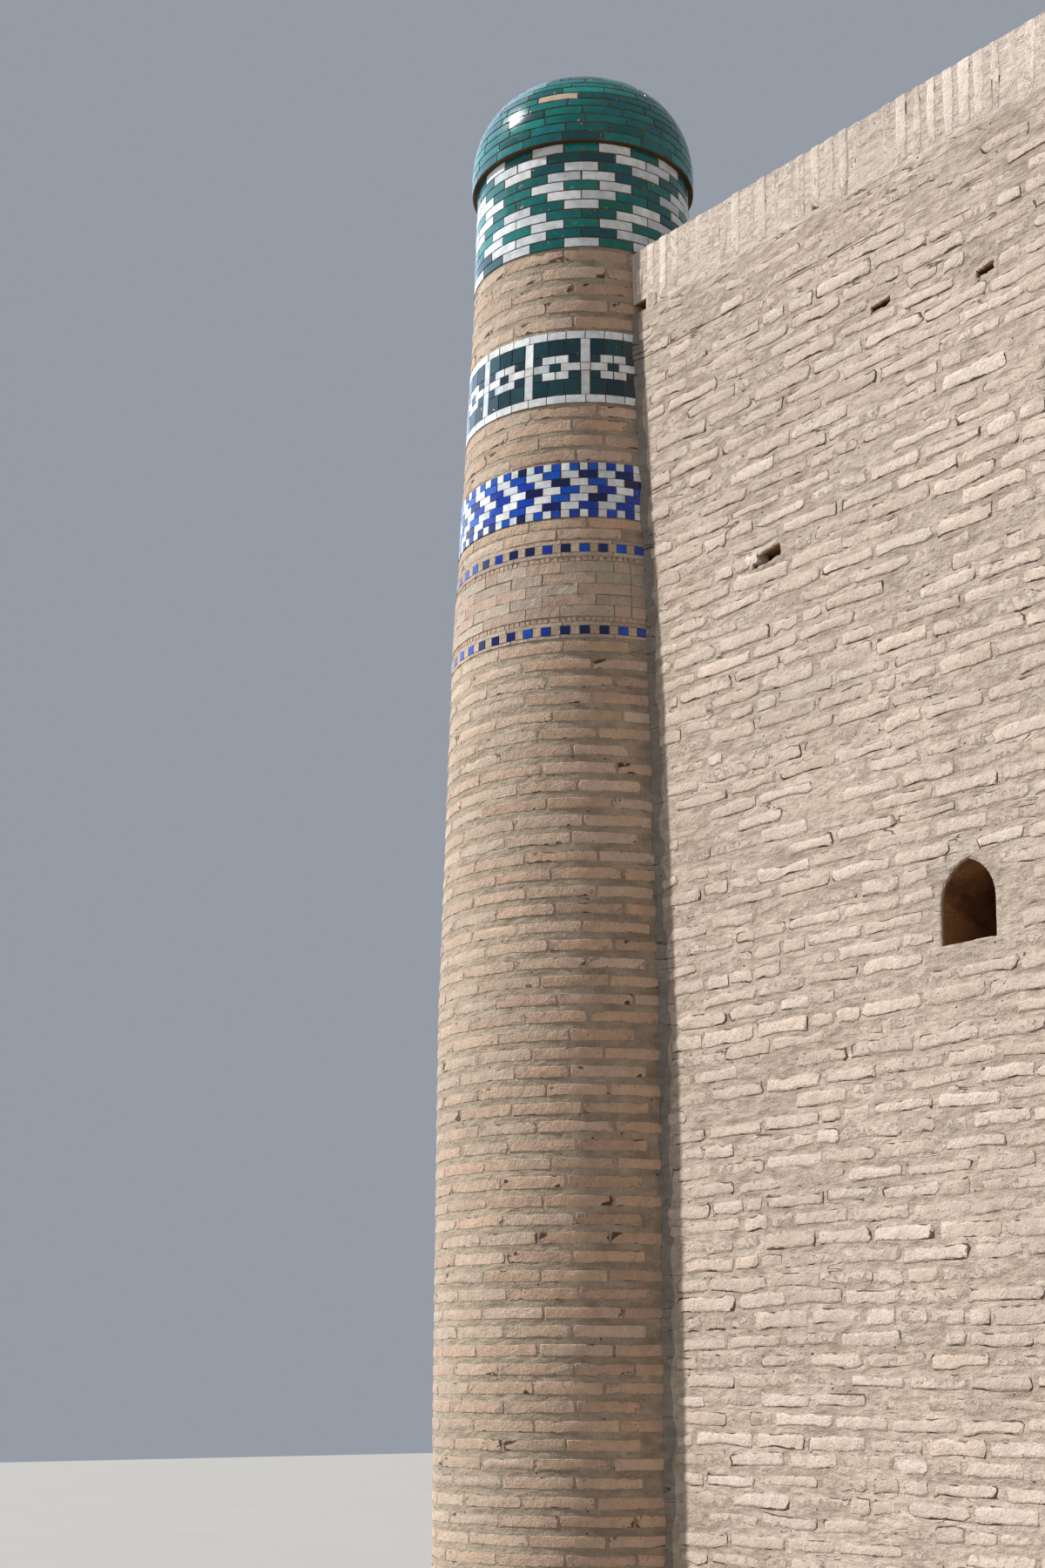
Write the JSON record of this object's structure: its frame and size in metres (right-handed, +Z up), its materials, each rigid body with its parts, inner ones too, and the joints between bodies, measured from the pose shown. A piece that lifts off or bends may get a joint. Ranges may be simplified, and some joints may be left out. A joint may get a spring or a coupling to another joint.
{
  "type": "mausoleum",
  "caption": "Square brick mausoleum with a round corner tower at each corner, glazed tile bands and turquoise caps, an arched doorway and small arched windows.",
  "frame": {"origin": "on the ground, under the middle of the square plan", "axes": "+Z up, -Y towards the wall with the lost brick, -X towards the doorway"},
  "size_m": [5.44, 5.44, 7.72],
  "materials": {
    "fired_brick": "matt buff fired brick in gypsum and clay mortar",
    "cut_brick": "matt cut brick",
    "cobalt_tile": "gloss cobalt and white glaze",
    "teal_tile": "gloss dark teal and white glaze",
    "turquoise_brick": "gloss turquoise green glaze, worn",
    "mud_plaster": "rough straw and clay plaster"
  },
  "bodies": {
    "root": {"southwest_tower_shaft": "fired_brick", "southwest_tower_relief_panel": "cut_brick", "southwest_tower_chevron_band": "cobalt_tile", "southwest_tower_fret_band": "teal_tile", "southwest_tower_glazed_drum": "turquoise_brick", "southwest_tower_cap": "turquoise_brick", "southeast_tower_shaft": "fired_brick", "southeast_tower_relief_panel": "cut_brick", "southeast_tower_chevron_band": "cobalt_tile", "southeast_tower_fret_band": "teal_tile", "southeast_tower_glazed_drum": "turquoise_brick", "southeast_tower_cap": "turquoise_brick", "northeast_tower_shaft": "fired_brick", "northeast_tower_relief_panel": "cut_brick", "northeast_tower_chevron_band": "cobalt_tile", "northeast_tower_fret_band": "teal_tile", "northeast_tower_glazed_drum": "turquoise_brick", "northeast_tower_cap": "turquoise_brick", "northwest_tower_shaft": "fired_brick", "northwest_tower_relief_panel": "cut_brick", "northwest_tower_chevron_band": "cobalt_tile", "northwest_tower_fret_band": "teal_tile", "northwest_tower_glazed_drum": "turquoise_brick", "northwest_tower_cap": "turquoise_brick", "south_wall_lower": "fired_brick", "south_wall_window_course": "fired_brick", "south_wall_upper": "fired_brick", "east_wall_lower": "fired_brick", "east_wall_window_course": "fired_brick", "east_wall_upper": "fired_brick", "north_wall_lower": "fired_brick", "north_wall_window_course": "fired_brick", "north_wall_upper": "fired_brick", "west_wall_left_pier": "fired_brick", "west_wall_right_pier": "fired_brick", "west_wall_door_arch": "fired_brick", "west_wall_window_course": "fired_brick", "west_wall_upper": "fired_brick", "south_parapet": "fired_brick", "east_parapet": "fired_brick", "north_parapet": "fired_brick", "west_parapet": "fired_brick", "roof": "mud_plaster"}
  },
  "joints": []
}
